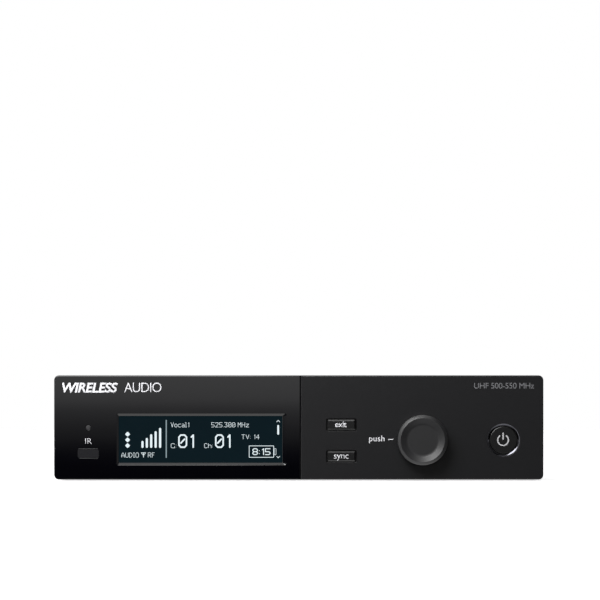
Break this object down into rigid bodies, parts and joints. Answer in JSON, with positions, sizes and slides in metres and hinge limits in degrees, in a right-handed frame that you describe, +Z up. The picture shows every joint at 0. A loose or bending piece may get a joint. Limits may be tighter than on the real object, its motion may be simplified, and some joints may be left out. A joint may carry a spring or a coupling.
{
  "type": "wireless receiver unit",
  "caption": "Half-rack wireless microphone receiver: low steel case, gloss display panel, keys, push-and-turn knob, power button, and audio, network and antenna connectors at the rear.",
  "frame": {"origin": "on the surface that the feet stand on, under the middle of the bounding box", "axes": "+X to the right as seen from the front, -Y out of the fascia, +Z up"},
  "size_m": [0.197, 0.152, 0.0423],
  "materials": {
    "painted_steel": "fine-texture black powder coat on steel sheet",
    "fascia_moulding": "fine spark-eroded texture on black ABS",
    "gloss_lens": "polished black acrylic",
    "display_pane": "polished clear pane over a dark display",
    "smoked_window": "smoked infrared-clear plastic",
    "button_moulding": "fine texture on black ABS",
    "soft_touch_knob": "soft-touch rubber skin",
    "circuit_board": "green solder mask on glass-fibre laminate",
    "display_glass": "dark display glass",
    "nickel_plate": "satin nickel plate on brass",
    "tin_plate": "bright tin plate on steel",
    "black_nylon": "moulded black nylon",
    "pale_nylon": "moulded natural nylon",
    "film_lead": "polyester film lead",
    "foot_rubber": "moulded black rubber",
    "black_oxide": "black oxide on steel",
    "zinc_plate": "bright zinc plate on steel"
  },
  "bodies": {
    "receiver": {"antenna_jack_a": "nickel_plate", "antenna_jack_b": "nickel_plate", "antenna_nut_a": "nickel_plate", "antenna_nut_b": "nickel_plate", "bezel_screw_left": "black_oxide", "bezel_screw_right": "black_oxide", "board_screw_front_left": "zinc_plate", "board_screw_front_right": "zinc_plate", "board_screw_rear_left": "zinc_plate", "board_screw_rear_right": "zinc_plate", "chassis_tray": "painted_steel", "cover_screw_left_front": "black_oxide", "cover_screw_left_rear": "black_oxide", "cover_screw_right_front": "black_oxide", "cover_screw_right_rear": "black_oxide", "dc_inlet": "black_nylon", "display_lens": "gloss_lens", "display_module": "display_glass", "display_window": "display_pane", "encoder_body": "tin_plate", "ethernet_jack": "tin_plate", "exit_switch": "black_nylon", "foot_front_left": "foot_rubber", "foot_front_right": "foot_rubber", "foot_rear_left": "foot_rubber", "foot_rear_right": "foot_rubber", "front_bezel": "fascia_moulding", "front_board": "circuit_board", "front_board_screw_left": "tin_plate", "front_board_screw_right": "tin_plate", "ir_transceiver": "black_nylon", "ir_window": "smoked_window", "level_switch": "black_nylon", "line_jack": "black_nylon", "line_jack_nut": "nickel_plate", "main_board": "circuit_board", "power_switch": "black_nylon", "processor_chip": "black_nylon", "rf_shield": "tin_plate", "ribbon_cable": "film_lead", "status_light_pipe": "smoked_window", "sync_switch": "black_nylon", "top_cover": "painted_steel", "xlr_insert": "black_nylon", "xlr_pin_1": "nickel_plate", "xlr_pin_2": "nickel_plate", "xlr_pin_3": "nickel_plate", "xlr_screw_1": "black_oxide", "xlr_screw_2": "black_oxide", "xlr_shell": "nickel_plate"},
    "exit_key": {"exit_button": "button_moulding", "exit_switch_plunger": "pale_nylon"},
    "sync_key": {"sync_button": "button_moulding", "sync_switch_plunger": "pale_nylon"},
    "power_key": {"power_button": "button_moulding", "power_switch_plunger": "pale_nylon"},
    "encoder_stack": {"encoder_push_plate": "pale_nylon"},
    "knob": {"encoder_knob": "soft_touch_knob", "encoder_shaft": "nickel_plate"},
    "level_lever": {"level_slider": "pale_nylon"}
  },
  "joints": [
    {"name": "exit_press", "type": "slide", "parent": "receiver", "child": "exit_key", "axis": [0, 1, 0], "range_m": [0, 0.0005], "stiffness_N_per_m": 400},
    {"name": "sync_press", "type": "slide", "parent": "receiver", "child": "sync_key", "axis": [0, 1, 0], "range_m": [0, 0.0005], "stiffness_N_per_m": 400},
    {"name": "power_press", "type": "slide", "parent": "receiver", "child": "power_key", "axis": [0, 1, 0], "range_m": [0, 0.0005], "stiffness_N_per_m": 400},
    {"name": "knob_push", "type": "slide", "parent": "receiver", "child": "encoder_stack", "axis": [0, 1, 0], "range_m": [0, 0.0005], "stiffness_N_per_m": 1500},
    {"name": "knob_turn", "type": "hinge", "parent": "encoder_stack", "child": "knob", "pos_m": [0.0496, -0.0665, 0.01625], "axis": [0, -1, 0], "continuous": true},
    {"name": "level_slide", "type": "slide", "parent": "receiver", "child": "level_lever", "axis": [1, 0, 0], "range_m": [0, 0.004]}
  ]
}
